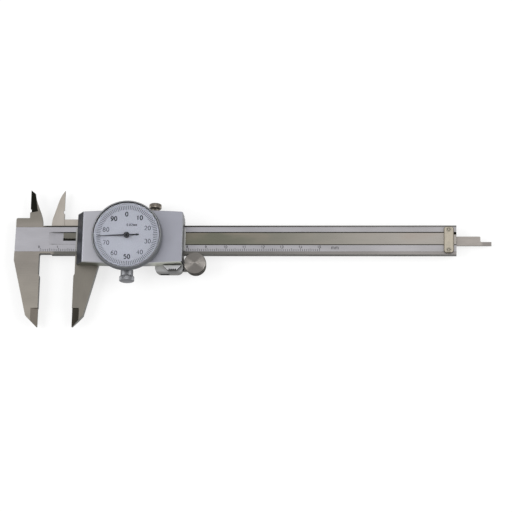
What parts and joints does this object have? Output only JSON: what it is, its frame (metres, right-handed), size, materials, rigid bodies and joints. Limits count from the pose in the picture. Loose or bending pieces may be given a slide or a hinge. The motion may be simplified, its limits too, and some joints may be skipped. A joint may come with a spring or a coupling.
{
  "type": "dial caliper",
  "caption": "Dial caliper with outside and inside jaws, a depth bar, a round dial with pointer on the slider, a thumb roller and clamp screws, lying on its back.",
  "frame": {"origin": "centre of the fixed jaw's outside measuring face, at the middle of the beam's thickness", "axes": "+X along the beam, the way the sliding jaw opens; +Y across the beam towards the inside jaws; +Z out of the dial"},
  "size_m": [0.2551, 0.0757, 0.0171],
  "materials": {
    "beam_steel": "ground, with a satin band for the scale",
    "rack_steel": "machined",
    "slider_steel": "ground",
    "cover_steel": "rolled spring steel",
    "screw_steel": "bright",
    "roller_steel": "turned face, knurled rim",
    "nickel_plate": "nickel plated",
    "brass": "satin",
    "wiper": "matt",
    "case_paint": "satin grey coating",
    "bezel_metal": "satin turned",
    "dial_paint": "matt silvered with printed scale",
    "pointer_black": "blackened",
    "crystal": "clear"
  },
  "bodies": {
    "beam": {"main_beam": "beam_steel", "rack": "rack_steel", "end_plate": "nickel_plate", "end_plate_screws": "nickel_plate"},
    "slider": {"slider_frame": "slider_steel", "gib_strip": "brass", "gib_screws": "screw_steel", "back_plate": "slider_steel", "back_plate_screws": "screw_steel", "depth_bar": "beam_steel", "depth_bar_screws": "screw_steel", "rack_cover": "cover_steel", "rack_cover_rivets": "brass", "wiper_left": "wiper", "wiper_right": "wiper", "dial_housing": "case_paint", "housing_screws": "screw_steel", "movement_plate": "brass", "movement_pillars": "brass", "movement_bridge": "brass", "bridge_screws": "screw_steel", "bezel_spring_ring": "screw_steel", "clamp_bush": "nickel_plate", "clamp_plunger": "brass", "roller_arm": "screw_steel", "roller_arm_screws": "screw_steel", "roller_axle": "screw_steel", "roller_snap_ring": "screw_steel"},
    "rack_pinion": {"pinion_arbor": "screw_steel", "drive_gear": "brass", "anti_backlash_gear": "brass", "anti_backlash_spring": "screw_steel"},
    "pointer_staff": {"centre_pinion": "screw_steel", "pointer": "pointer_black", "pointer_collet": "pointer_black"},
    "bezel": {"bezel": "bezel_metal", "dial_face": "dial_paint", "dial_spacer": "dial_paint", "crystal": "crystal"},
    "bezel_clamp": {"bezel_clamp_screw": "bezel_metal"},
    "slider_lock": {"lock_screw": "nickel_plate"},
    "roller": {"thumb_roller": "roller_steel"}
  },
  "joints": [
    {"name": "slider_slide", "type": "slide", "parent": "beam", "child": "slider", "axis": [1, 0, 0], "range_m": [-0.01849, 0.13601]},
    {"name": "rack_pinion_turn", "type": "hinge", "parent": "slider", "child": "rack_pinion", "pos_m": [0.04105, 0.03338, 0], "axis": [0, 0, 1], "continuous": true},
    {"name": "pointer_turn", "type": "hinge", "parent": "slider", "child": "pointer_staff", "pos_m": [0.04779, 0.03375, 0], "axis": [0, 0, 1], "continuous": true},
    {"name": "roller_turn", "type": "hinge", "parent": "slider", "child": "roller", "pos_m": [0.08389, 0.02023, 0], "axis": [0, 0, 1], "continuous": true},
    {"name": "bezel_turn", "type": "hinge", "parent": "slider", "child": "bezel", "pos_m": [0.04779, 0.03375, 0], "axis": [0, 0, 1], "continuous": true},
    {"name": "bezel_clamp_turn", "type": "hinge", "parent": "slider", "child": "bezel_clamp", "pos_m": [0.04779, 0.03375, 0.0052], "axis": [0, -1, 0], "range_deg": [-60, 300]},
    {"name": "slider_lock_turn", "type": "hinge", "parent": "slider", "child": "slider_lock", "pos_m": [0.06119, 0.03375, 0], "axis": [0, 1, 0], "range_deg": [-60, 300]}
  ],
  "couplings": [
    {"joint": "rack_pinion_turn", "follows": "slider_slide", "rad_per_m": 785.4},
    {"joint": "pointer_turn", "follows": "slider_slide", "rad_per_m": -3141.6},
    {"joint": "roller_turn", "follows": "slider_slide", "rad_per_m": 181.82}
  ]
}
